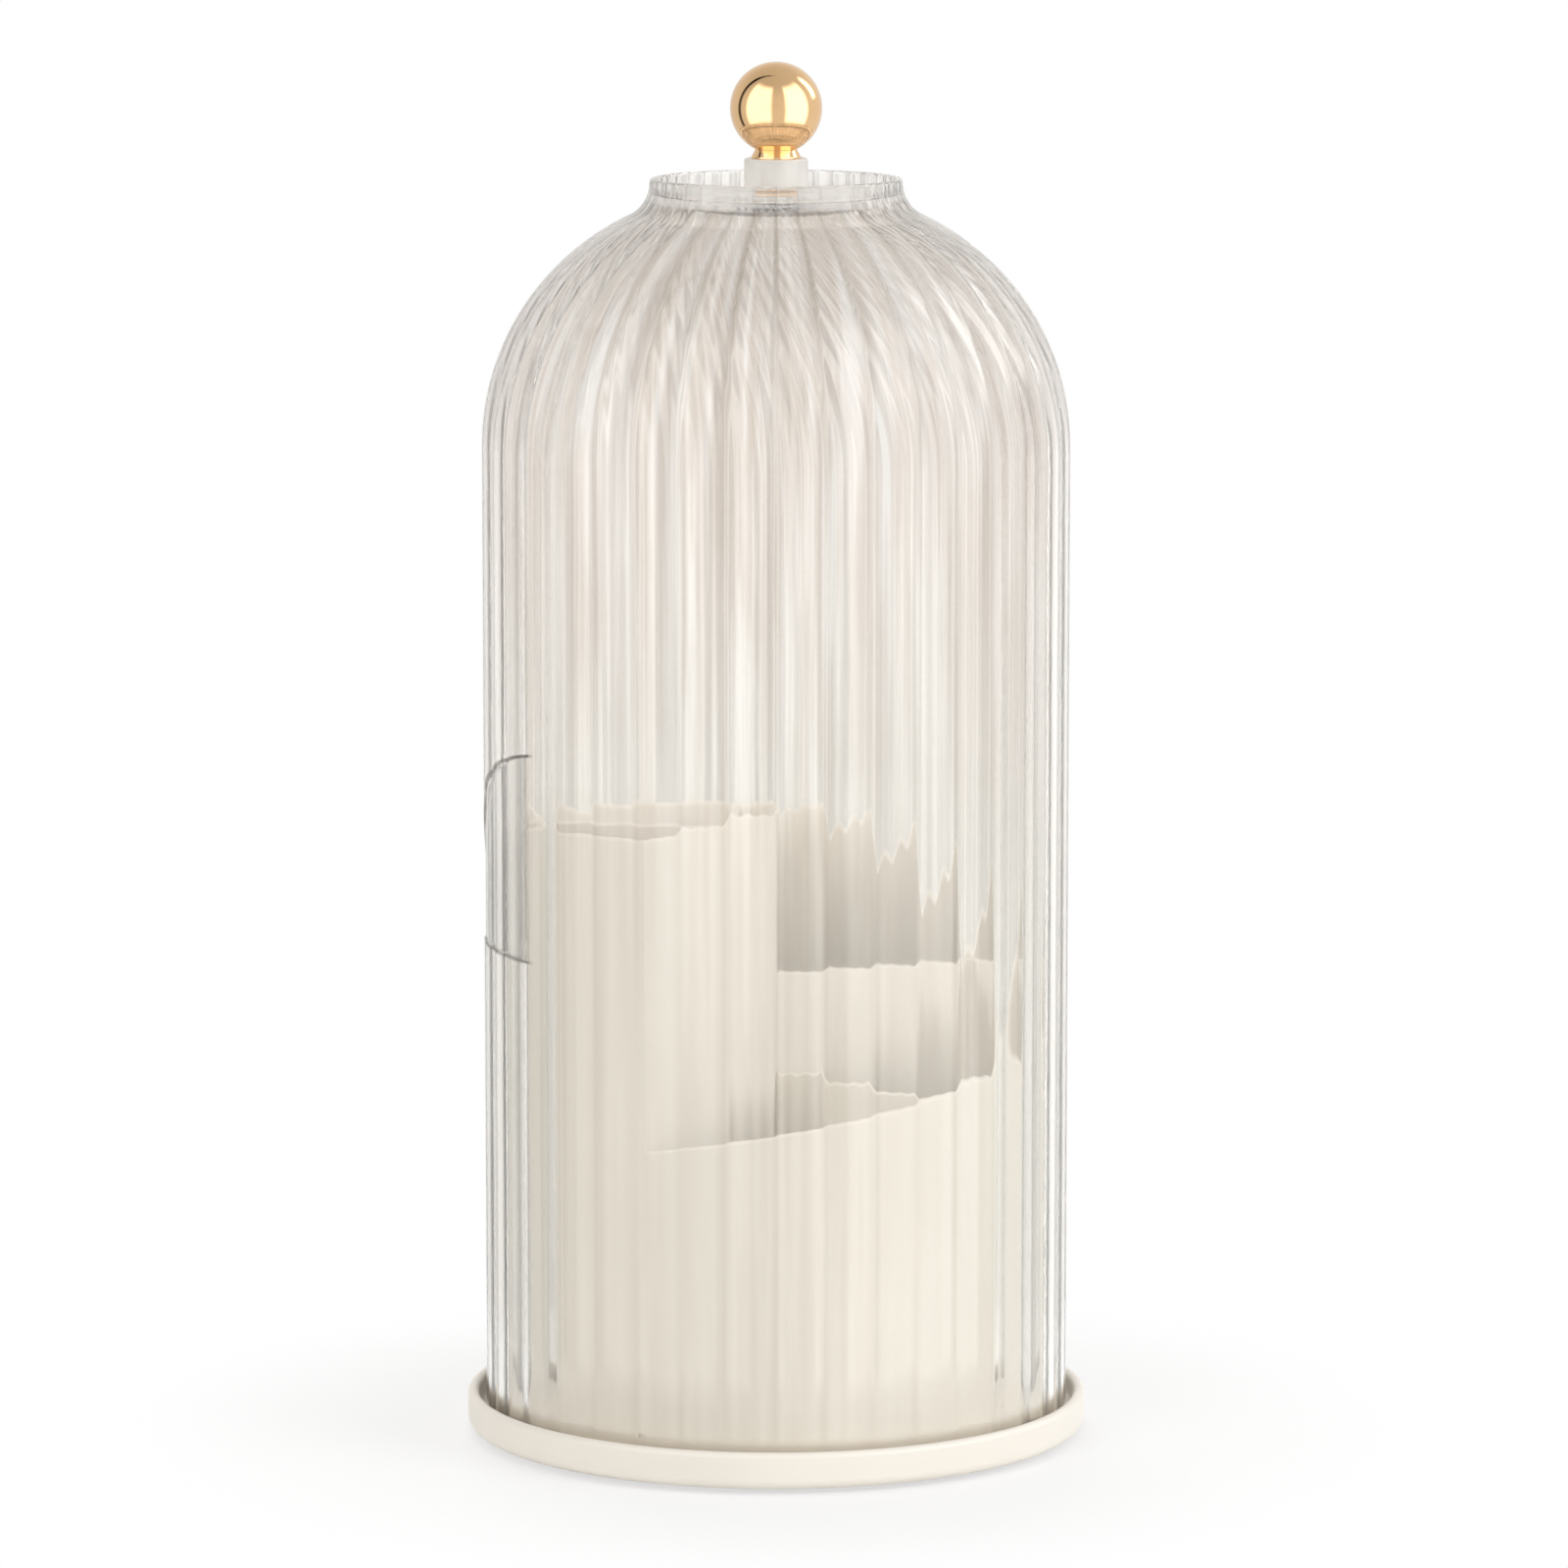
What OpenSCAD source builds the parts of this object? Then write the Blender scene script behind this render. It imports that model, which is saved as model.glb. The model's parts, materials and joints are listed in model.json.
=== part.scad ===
// Bell-shaped makeup organizer: a turning tray with a spiral-rimmed holder, a fixed clear
// rear shell, and a clear fluted front shell that slides round it about the knob's stud.
// Millimetres, +Z up, front towards -Y, origin on the table at the turning axis.

/* [Shells] */
// Outside diameter of the front shell over its flute ridges
shell_d = 141; // [130:1:156]
// Height from the shell's lower edge to the start of the shoulder
shell_side_h = 233.8; // [190:1:260]
// Radius of the shoulder's arc as a share of the shell's radius
shoulder_share = 0.865; // [0.84:0.005:0.88]
// Angle at which the shoulder's arc passes into the neck
neck_angle = 65; // [60:0.5:70]
// Outside radius of the rim at the top of the neck as a share of the shell's radius
rim_share = 0.428; // [0.4:0.004:0.46]
// Thickness of the rim
rim_t = 2; // [1.6:0.1:2.6]
// Height of the straight band at the top of the rim
rim_band = 1; // [0.6:0.1:2]
// Number of flutes round the shell
flute_count = 38; // [28:1:42]
// Depth of a flute at the straight side
flute_depth = 0.6; // [0.3:0.1:0.8]
// Wall of the front shell at its ridges
front_wall = 2.6; // [2.2:0.1:3]
// Wall of the rear shell at its ridges
rear_wall = 2.2; // [1.8:0.1:2.6]
// Radial gap between the two shells
shell_gap = 0.7; // [0.5:0.1:1.2]
// Angle that the front shell spans
front_span = 204; // [196:2:212]
// Angle that the rear shell spans
rear_span = 176; // [168:2:182]
// Depth of the recess in the top of the front shell
top_recess = 4.5; // [3:0.1:5]
// Thickness of the front shell's top
top_t = 2; // [1.6:0.1:2.6]
// Height of the crown that goes all the way round above the back opening
crown_h = 10.8; // [9:0.2:12]

/* [Finger pull] */
// Height of the pull's lower edge above the table
pull_z = 120.3; // [80:1:150]
// Height of the pull
pull_h = 49.6; // [36:0.5:60]
// Length of the pull round the shell
pull_w = 44; // [34:1:48]
// How soon the pull's upper edge bows down, as an exponent
pull_bow = 1.3; // [1.1:0.05:2]
// Depth of the pull below the ridges at its straight end
pull_depth = 1.5; // [1:0.1:1.8]
// Angle of the pull's straight end, seen from above, from the front
pull_angle = -57.5; // [-64:0.5:-50]

/* [Tray] */
// Gap between the front shell and the tray's lip
lip_gap = 1.7; // [1:0.1:2.5]
// Thickness of the tray's lip
lip_t = 2.8; // [2.2:0.1:3.6]
// Height of the lip above the deck
lip_rise = 1.5; // [1:0.25:4]
// Rounding under the tray's outer edge
skirt_round = 2.5; // [1:0.25:3]
// Gap between the skirt and the table
skirt_lift = 1; // [0.5:0.1:1.6]
// Thickness of the deck
deck_t = 2; // [1.8:0.1:2.6]
// Depth of the running groove below the deck
groove_depth = 3.3; // [2.6:0.1:3.4]
// Thickness of the web under the running groove
web_t = 1.8; // [1.6:0.1:2.2]

/* [Foot and ball race] */
// Height of the anti-slip pads
pad_h = 2.4; // [2.1:0.1:3]
// Diameter of a pad
pad_d = 10; // [8:0.5:11]
// Number of pads
pad_count = 6; // [3:1:8]
// Depth of the pockets that hold the pads
pad_pocket = 0.4; // [0.2:0.1:0.6]
// Thickness of the foot plate
foot_t = 1.8; // [1.6:0.1:2.4]
// Diameter of the balls
ball_d = 4; // [3.6:0.1:5]
// Number of balls
ball_count = 16; // [10:1:24]
// Distance from the holder's screws in to the ball race
race_inset = 7.9; // [7.6:0.1:14]
// Thickness of the ball cage
cage_t = 1.4; // [1:0.1:1.6]
// Width of the ball cage
cage_w = 7; // [6:0.5:8]
// Radius of the tray's spindle
spindle_r = 6; // [5:0.25:7.5]
// Diameter of the screw that holds the foot plate on
pivot_screw_d = 3; // [2.5:0.25:4]

/* [Holder] */
// Gap between the holder and the rear shell
holder_gap = 5.6; // [4.6:0.2:10]
// Wall of the holder
holder_wall = 2; // [1.6:0.1:2.6]
// Thickness of the holder's floor
holder_floor = 2; // [1.6:0.1:3]
// Thickness of a divider
divider_t = 1.8; // [1.4:0.1:2.4]
// Number of compartments
divider_count = 5; // [3:1:6]
// Angle of the rim's step, from the front
step_angle = -31.4; // [-60:1:0]
// Height of the rim at the low side of the step
rim_low = 77.3; // [60:0.5:90]
// Height of the rim where the steep climb starts
rim_mid = 93.3; // [80:0.5:100]
// Height of the rim where the steep climb ends
rim_back = 144.5; // [120:0.5:150]
// Height of the rim at the high side of the step
rim_high = 151.6; // [140:0.5:165]
// Diameter of the screws that hold the holder
holder_screw_d = 2.2; // [2:0.1:3]

/* [Knob] */
// Diameter of the ball knob
knob_d = 22; // [16:0.5:28]
// Diameter of the knob's foot
knob_foot_d = 11.9; // [10:0.2:14]
// Diameter of the clear collar
collar_d = 15.3; // [13:0.1:18]
// Height of the clear collar
collar_h = 7.75; // [5:0.25:12]
// Diameter of the spacer under the collar
spacer_d = 11; // [9:0.5:12.5]
// Height of the spacer
spacer_h = 1.5; // [1:0.1:2.5]
// Diameter of the stud
stud_d = 5; // [4:0.5:6]

/* [Hidden] */

// Clearances
run_gap = 0.06;
thread_gap = 0.03;
play = 0.05;
slide_gap = 0.1;
seat_gap = 0.2;
turn_gap = 0.3;
eps = 0.01;
round_fn = 96;
shell_fn = 240;

// Foot plate, balls and tray, stacked upwards
foot_z = pad_h - pad_pocket;
foot_top = foot_z + foot_t;
race_floor = 0.85;
ball_sink = foot_t - race_floor;
ball_z = foot_top - ball_sink + play + ball_d / 2;
groove_r = ball_d / 2 + play;
cover_t = 1.5;
deck_z = ball_z + groove_r + cover_t;
deck_under = deck_z - deck_t;
rib_z = ball_z + cage_t / 2 + turn_gap;
rib_w = cage_w - 1;
lip_z = deck_z + lip_rise;
groove_z = deck_z - groove_depth;
web_z = groove_z - web_t;

// Shell radii, from the outside in
shell_r = shell_d / 2;
front_in_r = shell_r - front_wall;
rear_r = front_in_r - shell_gap;
rear_in_r = rear_r - rear_wall;
rear_flute = flute_depth * 0.8;
lip_in_r = shell_r + lip_gap;
tray_r = lip_in_r + lip_t;
seat_in_r = rear_in_r - seat_gap;
seat_out_r = rear_r + turn_gap;
hub_wall = 1.8;
bay_r = seat_in_r - hub_wall;
foot_gap = 1;
foot_r = bay_r - foot_gap;
pad_inset = 3;
holder_r = rear_in_r - holder_gap;
boss_inset = 5.5;
boss_at = holder_r - boss_inset;
race_r = boss_at - race_inset;

// Front shell
hang_gap = 0.5;
front_z = groove_z + hang_gap;
shoulder_z = front_z + shell_side_h;
shoulder_r = shoulder_share * shell_r;
rim_r = rim_share * shell_r;
shoulder_x = shell_r - shoulder_r;
neck_x = shoulder_x + shoulder_r * cos(neck_angle);
neck_z = shoulder_z + shoulder_r * sin(neck_angle);
neck_fillet = (neck_x - rim_r) / (1 - cos(neck_angle));
band_z = neck_z + neck_fillet * sin(neck_angle);
rim_z = band_z + rim_band;
top_z = rim_z - top_recess;
top_under = top_z - top_t;
crown_z = rim_z - crown_h;

// Rear shell and its pivot
slip_t = 0.8;
slip_r = 10;
rear_top_z = top_under - slide_gap - slip_t;
rear_top_t = 2.2;
rear_under = rear_top_z - rear_top_t;
rear_arc = shoulder_r - front_wall - shell_gap;
hub_r = 16;
bush_r = stud_d / 2 + 1.5;
bush_flange_r = bush_r + 4.5;
bush_flange_t = 0.8;
bush_z = rear_under - 0.2;
tab_w = 8;
tab_play = 0.15;
tab_t = rear_wall - rear_flute - 0.4;
tab_r = rear_in_r + tab_play;
barb_h = 1;
barb_out = 0.6;
tab_angles = [110, 150, 210, 250];

arc_stop = 8;
rear_end = acos((hub_r + arc_stop - rear_r + rear_arc) / rear_arc);

// Stop lug that runs in a blind arc groove
open_angle = 180;
lug_angle = -open_angle / 2;
lug_span = 5;
lug_t = 1.1;
lug_inset = 0.8;
lug_r = front_in_r + lug_inset;
lug_depth = 1.2;
stop_gap = 0.4;

// Foot plate's dish, spindle and retaining screw
dish_r = spindle_r + 5;
dish_h = 1.4;
washer_t = 0.8;
washer_z = foot_z + dish_h - slide_gap - washer_t;
spindle_z = washer_z + washer_t;
pivot_head_t = 1.6;
pivot_hole = deck_under - spindle_z + 1.4;
pad_edge = 0.4;

// Holder
rim_start = 92;
rim_end = 215;
rim_full = 348;
rim_last = 356;
rim_drop = 1.5;
divider_pitch = 360 / divider_count;
boss_r = 3;
boss_h = 7.5;
post_r = 2.5;
screw_head_h = 1.4;

// Knob
spacer_top = top_z + spacer_h;
collar_top = spacer_top + collar_h;
collar_round = 0.6;
knob_foot_h = 2.15;
knob_edge = 0.5;
knob_taper = 1;
knob_sink = 0.9;
ball_knob_z = collar_top + knob_sink + knob_d / 2;
knob_hole = 9.5;
stud_up = 9;
stud_washer_t = 1;
stud_washer_z = bush_z - slide_gap - stud_washer_t;
spring_t = 1.2;
spring_z = stud_washer_z - spring_t;
nut_h = 4;
nut_z = spring_z - nut_h;
nut_r = stud_d * 0.924;
stud_tail = 1.6;

// Colours
cream = [0.93, 0.90, 0.85];
clear = [0.88, 0.86, 0.84, 0.35];
gold = [0.86, 0.66, 0.36];
steel = [0.72, 0.73, 0.75];
rubber = [0.35, 0.34, 0.33];
nylon = [0.92, 0.92, 0.90];

// Turns its children so that their +X points to an angle counted from the front
module at_angle(a) rotate([0, 0, a - 90]) children();

// A ring sector that starts at angle a0, counted from the front
module ring_sector(a0, span, r0, r1, z0, z1) {
  at_angle(a0) rotate_extrude(angle = span, $fn = round_fn)
    translate([r0, z0]) square([r1 - r0, z1 - z0]);
}

module tube(r_out, r_in, z0, z1) {
  difference() {
    translate([0, 0, z0]) cylinder(r = r_out, h = z1 - z0, $fn = round_fn);
    translate([0, 0, z0 - 1]) cylinder(r = r_in, h = z1 - z0 + 2, $fn = round_fn);
  }
}

// Fluted bell

// Outline of a bell from its lower edge to the end of the shoulder's arc
function bell_side(r, z0, arc_r, steps, a_end) =
  concat([[r, z0]], [for (i = [0 : steps]) let (a = a_end * i / steps)
    [r - arc_r * (1 - cos(a)), shoulder_z + arc_r * sin(a)]]);

// Outline of the neck and the rim's band, from the end of the shoulder's arc up
function neck_side(steps) = concat(
  [for (i = [1 : steps]) let (a = neck_angle * (1 - i / steps))
    [rim_r + neck_fillet * (1 - cos(a)), band_z - neck_fillet * sin(a)]],
  [[rim_r, rim_z]]);

flute_steps = 4;

// Depth of the flutes at step k round the shell: convex lobes with sharp valleys
function lobe(k) = pow(2 * (k % flute_steps) / flute_steps - 1, 2);

// A closed bell whose outline is fluted all the way up
module fluted_bell(outline, r_side, depth) {
  cols = flute_count * flute_steps;
  rows = len(outline);
  points = [for (p = outline, k = [0 : cols - 1])
    let (r = p[0] - depth * lobe(k) * p[0] / r_side, a = 360 * k / cols - 90)
    [r * cos(a), r * sin(a), p[1]]];
  sides = [for (j = [0 : rows - 2], k = [0 : cols - 1])
    let (k1 = (k + 1) % cols, b = j * cols, t = b + cols)
    each [[b + k, t + k, t + k1], [b + k, t + k1, b + k1]]];
  bottom = [for (k = [0 : cols - 1]) k];
  top = [for (k = [cols - 1 : -1 : 0]) (rows - 1) * cols + k];
  polyhedron(points, concat(sides, [bottom, top]), convexity = 6);
}

// The hollow of a bell: straight side, shoulder arc and flat top
module bell_hollow(r, z0, arc_r, z_top) {
  rotate_extrude($fn = shell_fn) {
    translate([0, z0 - 1]) square([r, shoulder_z - z0 + 1]);
    intersection() {
      translate([r - arc_r, shoulder_z]) circle(r = arc_r, $fn = shell_fn);
      translate([0, shoulder_z - eps]) square([r + 1, z_top - shoulder_z + eps]);
    }
  }
}

// Outline of the finger pull: straight end at x = 0, level lower edge, bowed upper edge
function pull_outline(w) = concat([[0, 0]],
  [for (i = [0 : 14]) let (t = sin(90 * i / 14))
    [-w * t, pull_h * pow(1 - pow(t, pull_bow), 0.25)]]);

// Cutter for the finger pull; its floor rises from the straight end to the shell's surface
module pull_cut() {
  half_angle = pull_w / shell_r * 90 / PI;
  chord = 2 * shell_r * sin(half_angle);
  floor_shift = pull_depth / 2 / sin(half_angle);
  at_angle(pull_angle - half_angle) difference() {
    translate([0, chord / 2, pull_z]) rotate([90, 0, 90])
      linear_extrude(height = shell_r + 5) polygon(pull_outline(chord));
    translate([0, -floor_shift, pull_z - 5])
      cylinder(r = shell_r - pull_depth / 2, h = pull_h + 10, $fn = round_fn);
  }
}

module front_shell() color(clear) {
  outline = concat(bell_side(shell_r, front_z, shoulder_r, 9, neck_angle), neck_side(4));
  back_gap = 360 - front_span;
  difference() {
    fluted_bell(outline, shell_r, flute_depth);
    at_angle(180) bell_hollow(front_in_r, front_z, shoulder_r - front_wall, top_under);
    translate([0, 0, top_z]) cylinder(r = rim_r - rim_t, h = top_recess + 1, $fn = round_fn);
    translate([0, 0, top_under - 1]) cylinder(r = stud_d / 2 + run_gap, h = top_t + 2, $fn = 48);
    ring_sector(front_span / 2, back_gap, 0, shell_r + 2, front_z - 1, crown_z);
    pull_cut();
  }
  ring_sector(lug_angle - lug_span / 2, lug_span, lug_r, lug_r + lug_t,
    front_z - lug_depth, front_z + eps);
}

module rear_shell() color(clear) {
  outline = concat(bell_side(rear_r, groove_z, rear_arc, 8, rear_end),
    [[hub_r + 2, rear_top_z]]);
  front_gap = 360 - rear_span;
  difference() {
    union() {
      difference() {
        fluted_bell(outline, rear_r, rear_flute);
        bell_hollow(rear_in_r, groove_z, rear_arc - rear_wall, rear_under);
        ring_sector(180 + rear_span / 2, front_gap, 0, rear_r + 2, groove_z - 1,
          rear_top_z + 1);
      }
      translate([0, 0, rear_under]) cylinder(r = hub_r, h = rear_top_t, $fn = round_fn);
    }
    translate([0, 0, rear_under - 1]) cylinder(r = bush_r + thread_gap, h = 5, $fn = 48);
    translate([0, 0, rear_top_z - bush_flange_t])
      cylinder(r = bush_flange_r + 0.1, h = 2, $fn = 64);
  }
  for (a = tab_angles) snap_tab(a);
}

// A tab under the rear shell, with a barb that hooks below the tray's web
module snap_tab(a) {
  barb_top = web_z - slide_gap;
  at_angle(a) {
    translate([tab_r, -tab_w / 2, barb_top - barb_h])
      cube([tab_t, tab_w, groove_z + 0.5 - barb_top + barb_h]);
    translate([tab_r + tab_t - eps, -tab_w / 2, barb_top - barb_h])
      cube([barb_out, tab_w, barb_h]);
  }
}

module pivot_bush() color(nylon) difference() {
  union() {
    translate([0, 0, bush_z])
      cylinder(r = bush_r, h = rear_top_z - bush_z, $fn = 64);
    translate([0, 0, rear_top_z - bush_flange_t])
      cylinder(r = bush_flange_r, h = bush_flange_t, $fn = 64);
  }
  translate([0, 0, bush_z - 1]) cylinder(r = stud_d / 2 + run_gap, h = 6, $fn = 48);
}

module slip_washer() color(nylon)
  tube(slip_r, stud_d / 2 + run_gap, rear_top_z, rear_top_z + slip_t);

// Tray

// Half section of the tray
module tray_section() {
  difference() {
    union() {
      translate([0, deck_under]) square([seat_out_r, deck_t]);
      translate([bay_r, web_z]) square([seat_out_r - bay_r, deck_z - web_z]);
      translate([bay_r, web_z]) square([tray_r - bay_r - 1, web_t]);
      translate([race_r - rib_w / 2, rib_z]) square([rib_w, deck_under - rib_z + eps]);
      translate([0, spindle_z]) square([spindle_r, deck_under - spindle_z + eps]);
      lip_section();
    }
    translate([race_r, ball_z]) circle(r = groove_r, $fn = 48);
  }
}

// Half section of the lip and the skirt below it
module lip_section() {
  top_round = lip_t / 2;
  translate([lip_in_r, skirt_lift + skirt_round])
    square([lip_t, lip_z - top_round - skirt_lift - skirt_round]);
  translate([lip_in_r + top_round, lip_z - top_round]) circle(r = top_round, $fn = 48);
  intersection() {
    translate([tray_r - skirt_round, skirt_lift + skirt_round])
      circle(r = skirt_round, $fn = 48);
    translate([lip_in_r, skirt_lift]) square([lip_t, skirt_round + 0.5]);
  }
}

module tray() color(cream) {
  stop_deg = stop_gap / lug_r * 180 / PI;
  seat_deg = seat_gap / rear_r * 180 / PI + 0.1;
  difference() {
    rotate_extrude($fn = 2 * round_fn) tray_section();
    ring_sector(180 - rear_span / 2 - seat_deg, rear_span + 2 * seat_deg, seat_in_r,
      seat_out_r + 0.5, groove_z, deck_z + 1);
    ring_sector(lug_angle - lug_span / 2 - stop_deg, open_angle + lug_span + 2 * stop_deg,
      lug_r - stop_gap, lug_r + lug_t + stop_gap, front_z - lug_depth - turn_gap,
      groove_z + 1);
    for (a = tab_angles) at_angle(a)
      translate([tab_r - barb_out - 0.1, -tab_w / 2 - 0.3, web_z - 1])
        cube([tab_t + barb_out + 0.2, tab_w + 0.6, web_t + 1 + eps]);
    at_dividers() translate([boss_at, 0, deck_under - 1])
      cylinder(d = holder_screw_d + 0.5, h = deck_t + 2, $fn = 32);
    translate([0, 0, spindle_z - 1])
      cylinder(d = pivot_screw_d + 2 * thread_gap, h = pivot_hole + 1, $fn = 32);
  }
}

module pivot_washer() color(steel)
  tube(spindle_r + 3, pivot_screw_d / 2 + run_gap, washer_z, washer_z + washer_t);

module pivot_screw() color(steel) {
  difference() {
    translate([0, 0, washer_z - pivot_head_t]) cylinder(r = pivot_screw_d * 1.35,
      h = pivot_head_t, $fn = 48);
    for (a = [0, 90]) rotate([0, 0, a])
      translate([-1.6, -0.35, washer_z - pivot_head_t - 1]) cube([3.2, 0.7, 1.8]);
  }
  translate([0, 0, washer_z - eps])
    cylinder(d = pivot_screw_d, h = washer_t + pivot_hole - 0.5, $fn = 48);
}

// Foot plate and ball race

module foot_plate() color(steel) difference() {
  rotate_extrude($fn = 2 * round_fn) difference() {
    union() {
      translate([0, foot_z]) square([foot_r, foot_t]);
      translate([0, foot_z]) square([dish_r + foot_t, foot_t + dish_h]);
    }
    translate([-1, foot_z - 1]) square([dish_r + 1, dish_h + 1]);
    translate([-1, foot_z]) square([spindle_r + run_gap + 1, 2 * foot_t + dish_h]);
    translate([race_r, ball_z]) circle(r = groove_r, $fn = 48);
  }
  at_pads() translate([0, 0, foot_z - 1])
    cylinder(r = pad_d / 2 + 0.15, h = pad_pocket + 1, $fn = 48);
}

module at_pads() for (i = [0 : pad_count - 1])
  at_angle(i * 360 / pad_count + 180 / pad_count)
    translate([foot_r - pad_d / 2 - pad_inset, 0, 0]) children();

module foot_pads() color(rubber) at_pads() {
  cylinder(r1 = pad_d / 2 - pad_edge, r2 = pad_d / 2, h = pad_edge, $fn = 48);
  translate([0, 0, pad_edge]) cylinder(r = pad_d / 2, h = pad_h - pad_edge, $fn = 48);
}

module ball_cage() color(nylon) difference() {
  tube(race_r + cage_w / 2, race_r - cage_w / 2, ball_z - cage_t / 2, ball_z + cage_t / 2);
  at_balls() cylinder(d = ball_d + 0.3, h = cage_t + 2, center = true, $fn = 32);
}

module at_balls() for (i = [0 : ball_count - 1])
  at_angle(i * 360 / ball_count) translate([race_r, 0, ball_z]) children();

module bearing_balls() color(steel) at_balls() sphere(d = ball_d, $fn = 32);

// Holder

module at_dividers() for (i = [0 : divider_count - 1])
  at_angle(step_angle + i * divider_pitch) children();

function mix(a, b, t) = a + (b - a) * t;

// Height of the rim at angle p past its step
function rim_height(p) =
  p < rim_start ? mix(rim_low, rim_mid, p / rim_start)
  : p < rim_end ? let (t = (p - rim_start) / (rim_end - rim_start))
    mix(rim_mid, rim_back, t * t * (3 - 2 * t))
  : mix(rim_back, rim_high, (p - rim_end) / (rim_full - rim_end));

function divider_height(i) =
  i == 0 ? rim_high : rim_height(i * divider_pitch) - rim_drop;

// Everything above the spiral rim, cut off the holder's wall
module rim_cut() {
  p0 = (divider_t / 2 + 0.1) / holder_r * 180 / PI;
  n = 72;
  r0 = holder_r - holder_wall - 1;
  r1 = holder_r + 1;
  stations = [for (i = [0 : n]) mix(p0, rim_last, i / n)];
  points = [for (p = stations)
    let (a = step_angle + p - 90, h = rim_height(p))
    each [for (q = [[r0, h], [r0, rim_high + 5], [r1, rim_high + 5], [r1, h]])
      [q[0] * cos(a), q[0] * sin(a), q[1]]]];
  sides = [for (i = [0 : n - 1], k = [0 : 3]) let (b = 4 * i, k1 = (k + 1) % 4)
    each [[b + k, b + 4 + k1, b + k1], [b + k, b + 4 + k, b + 4 + k1]]];
  caps = [[1, 2, 3], [0, 1, 3], [4 * n + 2, 4 * n + 1, 4 * n], [4 * n + 3, 4 * n + 2, 4 * n]];
  polyhedron(points, concat(sides, caps), convexity = 6);
}

module holder() color(cream) {
  root_z = deck_z + holder_floor / 2;
  difference() {
    union() {
      difference() {
        tube(holder_r, holder_r - holder_wall, deck_z, rim_high);
        rim_cut();
      }
      translate([0, 0, deck_z])
        cylinder(r = holder_r - holder_wall / 2, h = holder_floor, $fn = round_fn);
      translate([0, 0, deck_z]) cylinder(r = post_r, h = rim_high - deck_z, $fn = 32);
      for (i = [0 : divider_count - 1]) at_angle(step_angle + i * divider_pitch) {
        translate([0, -divider_t / 2, root_z])
          cube([holder_r - holder_wall / 2, divider_t, divider_height(i) - root_z]);
        translate([boss_at, 0, deck_z]) cylinder(r = boss_r, h = boss_h, $fn = 32);
      }
    }
    at_dividers() translate([boss_at, 0, deck_z - 1])
      cylinder(d = holder_screw_d + 2 * thread_gap, h = boss_h - 0.5, $fn = 32);
  }
}

module holder_screws() color(steel) at_dividers() translate([boss_at, 0, 0]) {
  difference() {
    translate([0, 0, deck_under - screw_head_h]) cylinder(r = holder_screw_d, h = screw_head_h,
      $fn = 32);
    for (a = [0, 90]) rotate([0, 0, a])
      translate([-1.1, -0.25, deck_under - screw_head_h - 1]) cube([2.2, 0.5, 1.6]);
  }
  translate([0, 0, deck_under - eps])
    cylinder(d = holder_screw_d, h = deck_t + boss_h - 2.2, $fn = 32);
}

// Knob and the stud that carries the front shell

module knob_spacer() color(gold)
  tube(spacer_d / 2, stud_d / 2 + thread_gap, top_z, spacer_top);

module knob_collar() color(clear) difference() {
  rotate_extrude($fn = round_fn) {
    translate([0, spacer_top]) square([collar_d / 2 - collar_round, collar_h]);
    translate([0, spacer_top + collar_round])
      square([collar_d / 2, collar_h - 2 * collar_round]);
    for (z = [spacer_top + collar_round, collar_top - collar_round])
      translate([collar_d / 2 - collar_round, z]) circle(r = collar_round, $fn = 32);
  }
  translate([0, 0, spacer_top - 1]) cylinder(r = stud_d / 2 + thread_gap, h = collar_h + 2,
    $fn = 48);
}

module knob() color(gold) difference() {
  rotate_extrude($fn = round_fn) {
    translate([0, collar_top]) polygon([[0, 0], [knob_foot_d / 2, 0],
      [knob_foot_d / 2, knob_edge], [knob_foot_d / 2 - knob_taper, knob_foot_h],
      [0, knob_foot_h]]);
    translate([0, ball_knob_z]) intersection() {
      circle(r = knob_d / 2, $fn = round_fn);
      translate([0, -knob_d]) square([knob_d, 2 * knob_d]);
    }
  }
  translate([0, 0, collar_top - 1])
    cylinder(r = stud_d / 2 + thread_gap, h = knob_hole + 1, $fn = 48);
}

module knob_stud() color(steel) {
  z0 = nut_z - stud_tail;
  z1 = collar_top + stud_up;
  edge = 0.5;
  translate([0, 0, z0]) cylinder(r1 = stud_d / 2 - edge, r2 = stud_d / 2, h = edge, $fn = 48);
  translate([0, 0, z0 + edge]) cylinder(r = stud_d / 2, h = z1 - z0 - 2 * edge, $fn = 48);
  translate([0, 0, z1 - edge])
    cylinder(r1 = stud_d / 2, r2 = stud_d / 2 - edge, h = edge, $fn = 48);
}

module stud_washer() color(steel)
  tube(stud_d * 1.2, stud_d / 2 + run_gap, stud_washer_z, stud_washer_z + stud_washer_t);

module spring_washer() color(steel) difference() {
  tube(stud_d * 0.88, stud_d / 2 + run_gap, spring_z, spring_z + spring_t);
  rotate([0, 0, 30]) translate([0, -0.35, spring_z - 1]) cube([stud_d, 0.7, spring_t + 2]);
}

module stud_nut() color(steel) difference() {
  translate([0, 0, nut_z]) cylinder(r = nut_r, h = nut_h, $fn = 6);
  translate([0, 0, nut_z - 1]) cylinder(r = stud_d / 2 + thread_gap, h = nut_h + 2, $fn = 48);
}

foot_plate();
foot_pads();
ball_cage();
bearing_balls();
tray();
pivot_washer();
pivot_screw();
holder();
holder_screws();
rear_shell();
pivot_bush();
slip_washer();
front_shell();
knob_spacer();
knob_collar();
knob();
knob_stud();
stud_washer();
spring_washer();
stud_nut();
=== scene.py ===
import json
import math

import bmesh
import bpy
import numpy as np
from mathutils import Matrix, Vector


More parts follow.
